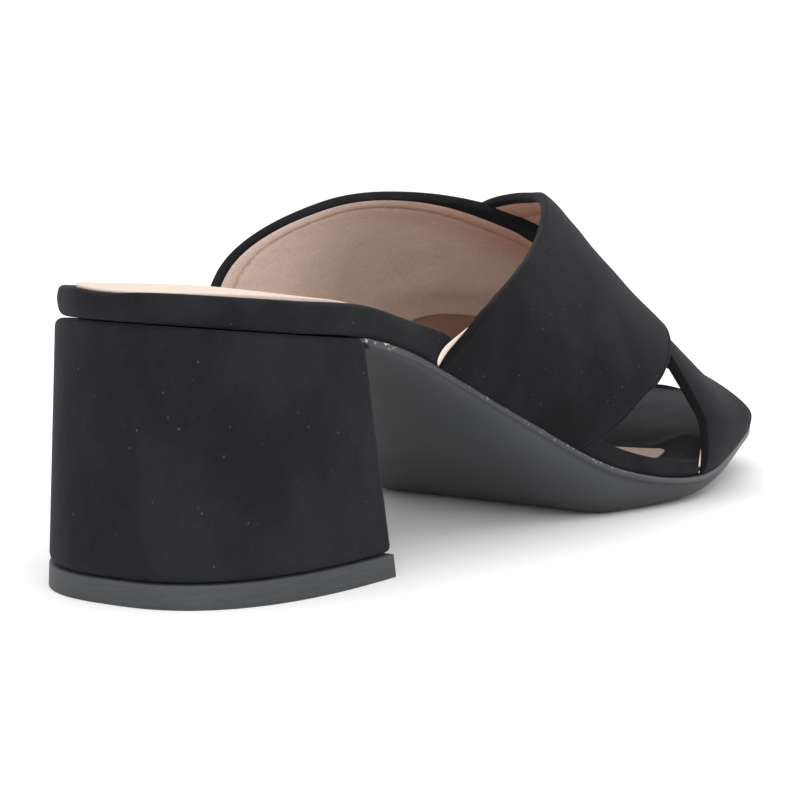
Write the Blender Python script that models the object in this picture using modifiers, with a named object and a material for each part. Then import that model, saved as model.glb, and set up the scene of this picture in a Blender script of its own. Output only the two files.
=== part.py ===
"""Cross-strap mule with a block heel, the right shoe of a pair.

+Y points to the toe, +X to the wearer's right (the outer side) and +Z up. The tables
are in millimetres, measured from the heel's back edge and the floor, and MM turns them
into metres. The pieces are then set so that the origin is the middle of the heel's
resting face.
"""

import math
from collections import namedtuple

import bmesh
import bpy
import numpy as np

MM = 0.001
GAP = 0.3
HEEL_REST_Y = 26.0

# Sole plan and side line, a row for each station along the shoe.
# axis: the last's centre line, which bends to the inner side at the toe.
# lateral, medial: half widths of the footbed from that line. bed: height of the seam
# between footbed and outsole at the edge. dish: how far that seam drops at the centre
# line. rim: thickness of the footbed at its edge. tread: height of the outsole's flat
# underside. flat: share of the half width that stays flat before it rounds up.
Station = namedtuple("Station", "y axis lateral medial bed dish rim tread flat")
STATIONS = (
    Station(25.0, 0.0, 27.2, 26.2, 49.65, 0.0, 6.4, 47.0, 0.2),
    Station(45.0, 0.0, 29.0, 28.6, 47.00, 0.0, 6.4, 44.2, 0.2),
    Station(60.0, 0.0, 28.4, 28.0, 43.20, 1.0, 6.4, 38.8, 0.2),
    Station(75.0, 0.0, 28.0, 27.2, 37.60, 2.2, 6.4, 31.2, 0.3),
    Station(100.0, 0.0, 30.6, 28.5, 25.50, 3.6, 5.8, 16.6, 0.5),
    Station(130.0, 0.0, 36.0, 34.5, 11.40, 3.8, 4.4, 1.0, 0.75),
    Station(160.0, -1.0, 41.2, 38.0, 6.10, 2.2, 4.0, 0.0, 0.8),
    Station(190.0, -4.0, 38.8, 34.5, 10.00, 1.6, 4.0, 4.4, 0.7),
    Station(212.0, -7.0, 31.5, 27.0, 11.90, 1.3, 4.0, 7.8, 0.5),
)
LENGTH = 231.0
HEEL_END_RADIUS = 22.0
TOE_END_RADIUS = 26.0
TOE_TIP_AXIS = -9.0
HEEL_SEAT_BACK = 52.9
TOE_TIP_BED = 12.4
TOE_TIP_DISH = 1.2
TOE_TIP_TREAD = 9.8
TOE_TIP_FLAT = 0.4
TOE_TIP_RIM = 4.0
HEEL_RIM = 6.4
HEEL_TREAD = 50.0
HEEL_FLAT = 0.2
DISH_POWER = 3

# Footbed, outsole and sock
RIM_LIP = 0.8
RIM_ROUND = 1.3
RIM_SEGMENTS = 2
PLATE_CELLS = (12, 32)
OUTSOLE_EDGE = 1.5
OUTSOLE_REACH = 0.3
OUTSOLE_ROUND = 0.7
OUTSOLE_SEGMENTS = 1
ROUND_ANGLE = 50.0
SMOOTH_ANGLE = 40.0

# Sock: a leather sheet that is cut off straight at the ball, padded under the heel.
# inset: how far inside the footbed's edge it stays. pad: how much its middle is raised.
# Its plan would close at SOCK_END. The padding reaches its height PAD_RUN from the back.
Sock = namedtuple("Sock", "y inset pad")
SOCK_ROWS = (
    Sock(0.0, 3.0, 1.7),
    Sock(40.0, 2.8, 1.7),
    Sock(70.0, 3.2, 0.9),
    Sock(100.0, 5.5, 0.4),
    Sock(130.0, 10.0, 0.1),
    Sock(160.0, 14.0, 0.0),
    Sock(190.0, 15.6, 0.0),
)
SOCK_THICKNESS = 0.8
SOCK_GAP = 0.55
SOCK_BACK = 3.0
SOCK_BACK_RADIUS = 20.0
SOCK_FRONT = 171.8
SOCK_END = 205.0
SOCK_END_RADIUS = 20.0
PAD_RUN = 30.0
SOCK_CELLS = (10, 26)

# Heel: a D in plan, its breast flat and leaning forward as it goes down
HeelSection = namedtuple("HeelSection", "half_width depth squareness back")
HEEL_FOOT = HeelSection(30.9, 51.7, 2.65, 0.0)
HEEL_HEAD = HeelSection(29.1, 43.5, 2.3, 0.8)
HEEL_SLOPE = -0.13
TIP_THICKNESS = 4.7
HEEL_POINTS = 30

# Instep vault that both straps follow.
# top: height of its ridge. lateral, medial: how far it bulges past the footbed.
Vault = namedtuple("Vault", "y top lateral medial")
VAULTS = (
    Vault(60.0, 91.8, 3.7, 8.2),
    Vault(100.0, 84.4, 5.1, 4.6),
    Vault(140.0, 68.7, 3.4, 5.0),
    Vault(160.0, 52.0, 3.2, 4.1),
    Vault(180.0, 35.0, 2.2, 2.9),
    Vault(215.0, 24.6, 1.8, 1.0),
)
RIDGE_X = -1.3
OUTER_POWER = 1.46
INNER_POWER = 2.0
WIDEST_SHARE = 0.257

# Strap edges along the shoe, at equal steps round the vault from the outer side (first)
# to the inner side (last).
Strap = namedtuple("Strap", "rear front lift")
STRAP_A = Strap(
    rear=(160.2, 148.0, 156.2, 132.4, 83.5, 72.6),
    front=(190.0, 187.7, 187.9, 174.2, 150.5, 131.0),
    lift=0.0,
)
STRAP_B = Strap(
    rear=(70.7, 78.3, 89.7, 117.0, 138.7, 144.4, 148.0, 147.9, 146.5, 148.1, 150.5),
    front=(118.5, 132.8, 148.3, 164.2, 179.8, 188.8, 194.0, 195.8, 196.0, 196.6, 197.0),
    lift=1.6,
)
STRAP_WALL = 2.4
LIFT_RUN = 0.17
MARGIN_STEPS = (6.5, 4.2, 2.0)
MARGIN_LEVEL = 1.3
STRAP_CELLS_ROUND = 34
STRAP_CELLS_ACROSS = 7

# Colours and roughness
Finish = namedtuple("Finish", "name colour roughness")
STRAP_SUEDE = Finish("black_suede", (0.02, 0.02, 0.022), 0.95)
RIM_SUEDE = Finish("rim_suede", (0.022, 0.022, 0.024), 0.95)
HEEL_SUEDE = Finish("heel_suede", (0.021, 0.021, 0.023), 0.95)
HEEL_RUBBER = Finish("heel_rubber", (0.08, 0.085, 0.09), 0.6)
OUTSOLE_SYNTHETIC = Finish("outsole_synthetic", (0.05, 0.053, 0.058), 0.6)
NUDE_LEATHER = Finish("nude_leather", (0.62, 0.42, 0.33), 0.5)


def smooth_step(t):
    """Return a soft step that is 0 up to t = 0 and 1 from t = 1."""
    t = np.clip(t, 0.0, 1.0)
    return t * t * (3 - 2 * t)


def through(places, values, at):
    """Return a smooth curve through (place, value) pairs, read at a place or an array."""
    places = np.asarray(places, float)
    values = np.asarray(values, float)
    slopes = np.gradient(values, places)
    row = np.clip(np.searchsorted(places, at, side="right") - 1, 0, len(places) - 2)
    step = places[row + 1] - places[row]
    t = np.clip((at - places[row]) / step, 0.0, 1.0)
    rise = smooth_step(t)
    lean_in = t * (1 - t) ** 2 * step * slopes[row]
    lean_out = t * t * (1 - t) * step * slopes[row + 1]
    return values[row] * (1 - rise) + values[row + 1] * rise + lean_in - lean_out


def column(rows, name, first, last):
    """Return a column of the stations, closed by a value at each end."""
    return [first] + [getattr(row, name) for row in rows] + [last]


SIDE_Y = column(STATIONS, "y", 0.0, LENGTH)


def chord(y, back, front):
    """Return the half chord, 0 to 1, of an ellipse that spans back to front."""
    place = (2 * y - back - front) / (front - back)
    return math.sqrt(max(0.0, 1 - place * place))


def fullness(rows, name, back, front, back_radius, front_radius):
    """Return half widths as shares of that chord, with round ends of the given radii."""
    half = (front - back) / 2
    inner = [getattr(row, name) / chord(row.y, back, front) for row in rows]
    return [math.sqrt(back_radius * half)] + inner + [math.sqrt(front_radius * half)]


FULL_LATERAL = fullness(STATIONS, "lateral", 0.0, LENGTH, HEEL_END_RADIUS, TOE_END_RADIUS)
FULL_MEDIAL = fullness(STATIONS, "medial", 0.0, LENGTH, HEEL_END_RADIUS, TOE_END_RADIUS)


def axis(y):
    """Return where the last's centre line is at y."""
    return float(through(SIDE_Y, column(STATIONS, "axis", 0.0, TOE_TIP_AXIS), y))


def half_width(y, outer):
    """Return the footbed's half width at y on the outer or the inner side."""
    share = FULL_LATERAL if outer else FULL_MEDIAL
    return float(through(SIDE_Y, share, y)) * chord(y, 0.0, LENGTH)


def bed_edge(y):
    """Return the height of the seam between footbed and outsole at the edge."""
    return float(through(SIDE_Y, column(STATIONS, "bed", HEEL_SEAT_BACK, TOE_TIP_BED), y))


def across(x, y):
    """Return how far x is from the centre line, as a share of the half width."""
    off = x - axis(y)
    return min(1.0, abs(off) / max(half_width(y, off >= 0), 1e-6))


def seat(x, y):
    """Return the height of the footbed's underside."""
    dish = float(through(SIDE_Y, column(STATIONS, "dish", 0.0, TOE_TIP_DISH), y))
    return bed_edge(y) - dish * (1 - across(x, y) ** DISH_POWER)


def footbed_top(x, y):
    """Return the height of the footbed's upper face, a little raised at the rim."""
    rim = float(through(SIDE_Y, column(STATIONS, "rim", HEEL_RIM, TOE_TIP_RIM), y))
    return seat(x, y) + rim - RIM_LIP * (1 - across(x, y) ** DISH_POWER)


def tread(x, y):
    """Return the height of the outsole's underside, which rounds up to its edge."""
    low = max(0.0, float(through(SIDE_Y, column(STATIONS, "tread", HEEL_TREAD, TOE_TIP_TREAD), y)))
    flat = float(through(SIDE_Y, column(STATIONS, "flat", HEEL_FLAT, TOE_TIP_FLAT), y))
    past = max(0.0, across(x, y) - flat) / (1 - flat)
    rise = bed_edge(y) - GAP - OUTSOLE_EDGE - low
    return low + rise * (1 - math.sqrt(1 - past * past))


def sole_plan(reach):
    """Return a map from the unit square to the footbed's plan grown by reach."""

    def place(u, v):
        y = LENGTH / 2 + (LENGTH / 2 + reach) * v
        inside = min(max(y, 0.0), LENGTH)
        share = FULL_LATERAL if u >= 0 else FULL_MEDIAL
        width = float(through(SIDE_Y, share, inside))
        return axis(inside) + u * (width + reach), y

    return place


def sock_row(name, y):
    """Return one of the sock's sizes at y."""
    places = [row.y for row in SOCK_ROWS]
    return float(through(places, [getattr(row, name) for row in SOCK_ROWS], y))


def sock_plan(u, v):
    """Map the unit square to the sock's plan, inside the footbed's rim."""
    middle = (SOCK_BACK + SOCK_END) / 2
    half = (SOCK_END - SOCK_BACK) / 2
    y = middle + half * v
    stations = [row for row in STATIONS if row.y < SOCK_END]
    shares = [math.sqrt(SOCK_BACK_RADIUS * half)]
    for row in stations:
        wide = half_width(row.y, u >= 0) - sock_row("inset", row.y)
        shares.append(wide / chord(row.y, SOCK_BACK, SOCK_END))
    shares.append(math.sqrt(SOCK_END_RADIUS * half))
    places = column(stations, "y", SOCK_BACK, SOCK_END)
    return axis(y) + u * float(through(places, shares, y)), y


def round_square(u, v):
    """Map a point of the square -1..1 to the unit disc, corners to its rim."""
    return u * math.sqrt(1 - v * v / 2), v * math.sqrt(1 - u * u / 2)


def add_object(name, bm, collection, material=None):
    """Make an object from a bmesh and link it."""
    mesh = bpy.data.meshes.new(name)
    bmesh.ops.recalc_face_normals(bm, faces=bm.faces)
    bm.to_mesh(mesh)
    bm.free()
    obj = bpy.data.objects.new(name, mesh)
    collection.objects.link(obj)
    if material:
        mesh.materials.append(material)
    return obj


def plate(plan, under, over, cells):
    """Return a bmesh of a closed plate between two surfaces over a round-ended plan."""
    bm = bmesh.new()
    bmesh.ops.create_grid(bm, x_segments=cells[0], y_segments=cells[1], size=1.0)
    copied = bmesh.ops.duplicate(bm, geom=bm.verts[:] + bm.edges[:] + bm.faces[:])
    top = {item for item in copied["geom"] if isinstance(item, bmesh.types.BMVert)}
    for vert in bm.verts:
        x, y = plan(*round_square(vert.co.x, vert.co.y))
        height = over if vert in top else under
        vert.co = (x * MM, y * MM, height(x, y) * MM)
    rims = [edge for edge in bm.edges if edge.is_boundary]
    bmesh.ops.bridge_loops(bm, edges=rims)
    return bm


def round_edges(obj, width, segments):
    """Round the sharp edges."""
    bevel = obj.modifiers.new("rounded edges", "BEVEL")
    bevel.width = width * MM
    bevel.segments = segments
    bevel.limit_method = "ANGLE"
    bevel.angle_limit = math.radians(ROUND_ANGLE)


def make_footbed(collection, cutters, material):
    """Footbed: board and padding with a raised rim, notched below for the straps."""
    bm = plate(sole_plan(0.0), seat, footbed_top, PLATE_CELLS)
    obj = add_object("footbed", bm, collection, material)
    round_edges(obj, RIM_ROUND, RIM_SEGMENTS)
    for cutter in cutters:
        notch = obj.modifiers.new("notch", "BOOLEAN")
        notch.operation = "DIFFERENCE"
        notch.object = cutter


def heel_breast(z):
    """Return where the heel's breast is at a height."""
    head = HEEL_HEAD.back + HEEL_HEAD.depth
    foot = HEEL_FOOT.back + HEEL_FOOT.depth
    return foot + (head - foot) * z / heel_seat(head)


def heel_seat(y):
    """Return the height of the heel block's sloping upper face."""
    return HEEL_SEAT_BACK - GAP + HEEL_SLOPE * y


def cut_off(bm, y, normal):
    """Cut a plate at y on the floor, keep the side that the normal points to and close it."""
    solid = bm.verts[:] + bm.edges[:] + bm.faces[:]
    cut = bmesh.ops.bisect_plane(
        bm, geom=solid, plane_co=(0.0, y * MM, 0.0), plane_no=normal, clear_inner=True
    )
    rim = [item for item in cut["geom_cut"] if isinstance(item, bmesh.types.BMEdge)]
    bmesh.ops.contextual_create(bm, geom=rim)


def make_outsole(collection, material):
    """Outsole: thin, rolled up at its edge, flat under the ball, cut off at the heel."""
    bm = plate(sole_plan(OUTSOLE_REACH), tread, lambda x, y: seat(x, y) - GAP, PLATE_CELLS)
    low = heel_breast(0.0) + GAP
    high = heel_breast(HEEL_SEAT_BACK) + GAP
    cut_off(bm, low, (0.0, HEEL_SEAT_BACK, low - high))
    obj = add_object("outsole", bm, collection, material)
    round_edges(obj, OUTSOLE_ROUND, OUTSOLE_SEGMENTS)


def make_sock(collection, material):
    """Insole sock: a leather sheet on the footbed, from the heel to the ball, its heel padded."""

    def under(x, y):
        return footbed_top(x, y) + SOCK_GAP

    def over(x, y):
        rise = smooth_step((y - SOCK_BACK) / PAD_RUN) * (1 - across(x, y) ** 2)
        return under(x, y) + SOCK_THICKNESS + sock_row("pad", y) * rise

    bm = plate(sock_plan, under, over, SOCK_CELLS)
    cut_off(bm, SOCK_FRONT, (0.0, -1.0, 0.0))
    add_object("insole_sock", bm, collection, material)


def heel_ring(bm, level, height):
    """Add one D-shaped section of the heel at a level, 0 at the floor to 1 at the top."""
    half_wide, depth, squareness, back = (
        low + (high - low) * level for low, high in zip(HEEL_FOOT, HEEL_HEAD)
    )
    ring = []
    for step in range(HEEL_POINTS + 1):
        turn = math.pi * (step / HEEL_POINTS - 0.5)
        x = half_wide * math.copysign(abs(math.sin(turn)) ** (2 / squareness), turn)
        y = back + depth * (1 - abs(math.cos(turn)) ** (2 / squareness))
        ring.append(bm.verts.new((x * MM, y * MM, height(y) * MM)))
    return bm.faces.new(ring)


def heel_piece(sections):
    """Return a bmesh of a piece of the heel, lofted between two (level, height) sections."""
    bm = bmesh.new()
    faces = [heel_ring(bm, level, height) for level, height in sections]
    rims = [edge for face in faces for edge in face.edges]
    bmesh.ops.bridge_loops(bm, edges=rims)
    return bm


def make_heel(collection, block_material, tip_material):
    """Heel block under the footbed, and the top lift under it."""
    top = heel_seat(0.0)
    seam = TIP_THICKNESS + GAP
    tip = ((0.0, lambda y: 0.0), (TIP_THICKNESS / top, lambda y: TIP_THICKNESS))
    block = ((seam / top, lambda y: seam), (1.0, heel_seat))
    add_object("heel_tip", heel_piece(tip), collection, tip_material)
    add_object("heel_block", heel_piece(block), collection, block_material)


def vault_point(y, turn, lift):
    """Return the point of the instep vault at y, turn going 0 to 1 over the foot."""
    rows = [row.y for row in VAULTS]
    top = float(through(rows, [row.top for row in VAULTS], y))
    ridge = axis(y) + RIDGE_X
    sides = []
    for outer, sign, power in ((True, 1, OUTER_POWER), (False, -1, INNER_POWER)):
        bulge = float(through(rows, [row.lateral if outer else row.medial for row in VAULTS], y))
        foot = half_width(y, outer) + sign * (axis(y) - ridge)
        tuck = math.acos((foot / (foot + bulge)) ** (power / 2))
        sides.append((foot + bulge, tuck, power))
    angle = -sides[0][1] + turn * (math.pi + sides[0][1] + sides[1][1])
    reach, tuck, power = sides[0] if math.cos(angle) >= 0 else sides[1]
    base = bed_edge(y) + MARGIN_LEVEL
    widest = base + WIDEST_SHARE * (top - base)
    cos, sin = math.cos(angle), math.sin(angle)
    x = ridge + reach * math.copysign(abs(cos) ** (2 / power), cos)
    if sin < 0:
        z = widest + (widest - base) * sin / math.sin(tuck)
    else:
        z = widest + (top - widest) * sin ** (2 / power)
    return x + lift * cos, z + lift * max(sin, 0.0)


def strap_point(strap, row, share, grow):
    """Return a point of a strap: row counts round the vault with both margins."""
    margins = len(MARGIN_STEPS)
    turn = min(max((row - margins) / STRAP_CELLS_ROUND, 0.0), 1.0)
    steps = np.linspace(0.0, 1.0, len(strap.rear))
    rear = float(through(steps, strap.rear, turn)) - grow
    front = float(through(steps, strap.front, turn)) + grow
    y = rear + (front - rear) * share
    x, z = vault_point(y, turn, strap.lift * smooth_step(min(turn, 1 - turn) / LIFT_RUN))
    past = max(margins - row, row - margins - STRAP_CELLS_ROUND, 0)
    if past:
        x -= math.copysign(MARGIN_STEPS[margins - past] + 2 * grow * past / margins, x)
        z = seat(x, y) + MARGIN_LEVEL
    return x, y, z


def strap_shell(name, strap, wall, grow, collection, material=None):
    """Return a strap: a sheet over the vault, its margins turned in under the footbed."""
    rows = STRAP_CELLS_ROUND + 2 * len(MARGIN_STEPS)
    bm = bmesh.new()
    bmesh.ops.create_grid(bm, x_segments=rows, y_segments=STRAP_CELLS_ACROSS, size=1.0)
    for vert in bm.verts:
        row = round((vert.co.x + 1) / 2 * rows)
        x, y, z = strap_point(strap, row, (vert.co.y + 1) / 2, grow)
        vert.co = (x * MM, y * MM, z * MM)
    obj = add_object(name, bm, collection, material)
    shell = obj.modifiers.new("wall", "SOLIDIFY")
    shell.thickness = wall * MM
    shell.offset = 0.0
    return obj


def make_upper(collection, cutters, material):
    """Upper: strap A with strap B joined over it where they cross."""
    upper = strap_shell("upper", STRAP_A, STRAP_WALL, 0.0, collection, material)
    over = strap_shell("strap_b_joined", STRAP_B, STRAP_WALL, 0.0, cutters)
    join = upper.modifiers.new("join", "BOOLEAN")
    join.operation = "UNION"
    join.object = over


def make_notch_cutters(cutters):
    """Cutters that leave room in the footbed for the straps' margins."""
    wall = STRAP_WALL + 2 * GAP
    straps = (("notch_a", STRAP_A), ("notch_b", STRAP_B))
    return [strap_shell(name, strap, wall, GAP, cutters) for name, strap in straps]


def make_material(finish):
    """Return a Principled material of a finish."""
    material = bpy.data.materials.new(finish.name)
    material.use_nodes = True
    shader = material.node_tree.nodes["Principled BSDF"]
    shader.inputs["Base Color"].default_value = (*finish.colour, 1.0)
    shader.inputs["Roughness"].default_value = finish.roughness
    shader.inputs["Metallic"].default_value = 0.0
    material.diffuse_color = (*finish.colour, 1.0)
    return material


def clear_scene():
    """Remove the objects that the scene starts with."""
    for obj in list(bpy.data.objects):
        bpy.data.objects.remove(obj, do_unlink=True)


def make_collection(name):
    """Return a new collection in the scene."""
    collection = bpy.data.collections.new(name)
    bpy.context.scene.collection.children.link(collection)
    return collection


def main():
    """Build the shoe."""
    clear_scene()
    shoe = make_collection("cross_strap_mule")
    cutters = make_collection("cutters")
    make_heel(shoe, make_material(HEEL_SUEDE), make_material(HEEL_RUBBER))
    make_outsole(shoe, make_material(OUTSOLE_SYNTHETIC))
    make_footbed(shoe, make_notch_cutters(cutters), make_material(RIM_SUEDE))
    make_sock(shoe, make_material(NUDE_LEATHER))
    make_upper(shoe, cutters, make_material(STRAP_SUEDE))
    for cutter in cutters.objects:
        cutter.hide_render = True
        cutter.display_type = "WIRE"
        cutter.location.y = -HEEL_REST_Y * MM
    for obj in shoe.objects:
        obj.location.y = -HEEL_REST_Y * MM
        obj.data.shade_smooth()
        obj.data.set_sharp_from_angle(angle=math.radians(SMOOTH_ANGLE))


main()
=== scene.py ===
"""Looks of a black cross-strap mule with a block heel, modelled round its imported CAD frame.

The shoe's own sizes are in millimetres: x to the outer side of the foot, y from the
heel's back edge to the toe, z up from the floor. ``to_frame`` turns a point of the shoe
into the frame's metres.
"""

import logging
import math
from bisect import bisect_right
from dataclasses import dataclass
from enum import Enum
from typing import Any, Callable, Mapping, NamedTuple, Sequence

import bmesh
import bpy
import numpy as np
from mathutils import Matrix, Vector
from mathutils.geometry import intersect_point_line


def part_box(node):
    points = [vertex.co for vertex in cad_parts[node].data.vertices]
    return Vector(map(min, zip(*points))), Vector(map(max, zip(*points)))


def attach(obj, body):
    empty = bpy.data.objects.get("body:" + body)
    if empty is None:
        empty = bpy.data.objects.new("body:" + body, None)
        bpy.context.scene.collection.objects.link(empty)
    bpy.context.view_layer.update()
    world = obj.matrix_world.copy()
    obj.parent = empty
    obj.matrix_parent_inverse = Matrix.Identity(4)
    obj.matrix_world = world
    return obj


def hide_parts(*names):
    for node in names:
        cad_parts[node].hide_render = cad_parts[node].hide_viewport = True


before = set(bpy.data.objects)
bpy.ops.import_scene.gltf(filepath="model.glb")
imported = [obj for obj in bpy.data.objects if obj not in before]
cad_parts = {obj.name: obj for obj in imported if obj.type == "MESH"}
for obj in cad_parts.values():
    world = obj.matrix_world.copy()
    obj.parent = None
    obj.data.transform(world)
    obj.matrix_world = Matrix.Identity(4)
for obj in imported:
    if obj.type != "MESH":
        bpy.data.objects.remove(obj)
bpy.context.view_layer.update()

MM = 0.001
WELD = 1e-6
TINY = 1e-6
SHARP = math.radians(50.0)
FULL_TURN = 2 * math.pi
HEEL_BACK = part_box("heel_tip")[0].y

Triple = tuple[float, float, float]
Colour = Triple
Pair = tuple[float, float]
Cell = tuple[int, int]

log = logging.getLogger("mule")


def to_frame(x: float, y: float, z: float) -> Vector:
    """Return a point of the shoe in the frame's metres."""
    return Vector((x * MM, y * MM + HEEL_BACK, z * MM))


def ease(t: float) -> float:
    """Return a soft step that is 0 up to t = 0 and 1 from t = 1."""
    t = min(max(t, 0.0), 1.0)
    return t * t * (3 - 2 * t)


def mix(low: float, high: float, share: float) -> float:
    """Return the value a share of the way from low to high."""
    return low + (high - low) * share


class Line:
    """A smooth line through a short table of values."""

    def __init__(self, places: Sequence[float], values: Sequence[float]) -> None:
        """Work out the line's slopes.

        Args:
            places: where the values are, in rising order.
            values: the line's value at each place.
        """
        self.places = [float(place) for place in places]
        self.values = [float(value) for value in values]
        self.slopes = [float(slope) for slope in np.gradient(self.values, self.places)]

    def __call__(self, at: float) -> float:
        """Read the line.

        Args:
            at: the place.

        Returns:
            The line's value there, held level past its ends.
        """
        row = min(max(bisect_right(self.places, at) - 1, 0), len(self.places) - 2)
        step = self.places[row + 1] - self.places[row]
        t = min(max((at - self.places[row]) / step, 0.0), 1.0)
        lean_in = t * (1 - t) ** 2 * step * self.slopes[row]
        lean_out = t * t * (1 - t) * step * self.slopes[row + 1]
        return mix(self.values[row], self.values[row + 1], ease(t)) + lean_in - lean_out


def lines_of(rows: Sequence[Any]) -> dict[str, Line]:
    """Draw a line along y through each column of a table.

    Args:
        rows: named rows, whose first value is their y.

    Returns:
        The lines, by the columns' names.
    """
    places = [row.y for row in rows]
    names = rows[0]._fields[1:]
    return {name: Line(places, [getattr(row, name) for row in rows]) for name in names}


# ---------------------------------------------------------------------------- the last


class Station(NamedTuple):
    """The last at one place along the shoe.

    axis is its centre line; lateral and medial are the footbed's half widths from it.
    bed is the height of the seam between footbed and outsole at the edge, and dish how
    far that seam drops in the middle. rim is the footbed's thickness at its edge, tread
    the height of the outsole's flat underside, and flat the share of it that is flat.
    """

    y: float
    axis: float
    lateral: float
    medial: float
    bed: float
    dish: float
    rim: float
    tread: float
    flat: float


class EdgeRise(NamedTuple):
    """How much higher the footbed's upper edge is at one place."""

    y: float
    height: float


class SockRow(NamedTuple):
    """The sock at one place: its inset from the footbed's edge, height and padding.

    proud is how far its edge stands above the footbed, and pad how much its middle rises.
    """

    y: float
    inset: float
    proud: float
    pad: float


def chord(y: float, back: float, front: float) -> float:
    """Return the half chord at y, 0 to 1, of an ellipse that spans back to front."""
    place = (2 * y - back - front) / (front - back)
    return math.sqrt(max(0.0, 1 - place * place))


@dataclass
class Outline:
    """A closed plan with round ends, walked by an angle: 0 outer side, a quarter turn toe.

    outer and inner are half widths as shares of the chord of an ellipse.
    """

    back: float
    front: float
    axis: Line
    outer: Line
    inner: Line
    spine_share: float = 0.8
    probe: float = 0.004

    def edge(self, turn: float) -> Pair:
        """Find a point of the outline.

        Args:
            turn: the angle.

        Returns:
            The point's x and y.
        """
        y = mix(self.back, self.front, (1 + math.sin(turn)) / 2)
        side = self.outer if math.cos(turn) >= 0 else self.inner
        return self.axis(y) + math.cos(turn) * side(y), y

    def inside(self, turn: float, inset: float) -> Pair:
        """Return the outline's point at an angle, moved square to the outline.

        Args:
            turn: the angle.
            inset: how far in, in millimetres; below 0 is outwards.

        Returns:
            The point's x and y.
        """
        x, y = self.edge(turn)
        back_x, back_y = self.edge(turn - self.probe)
        next_x, next_y = self.edge(turn + self.probe)
        run = math.hypot(next_x - back_x, next_y - back_y)
        return x - inset * (next_y - back_y) / run, y + inset * (next_x - back_x) / run

    def inward(self, turn: float, inset: float, share: float) -> Pair:
        """Return a point on the way from the inset outline to the plan's spine.

        Args:
            turn: the angle.
            inset: how far in the walk starts, in millimetres.
            share: 0 for that start and 1 for the spine.

        Returns:
            The point's x and y.
        """
        x, y = self.inside(turn, inset)
        middle = (self.back + self.front) / 2
        spine_y = middle + (self.edge(turn)[1] - middle) * self.spine_share
        return mix(x, self.axis(spine_y), share), mix(y, spine_y, share)


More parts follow.
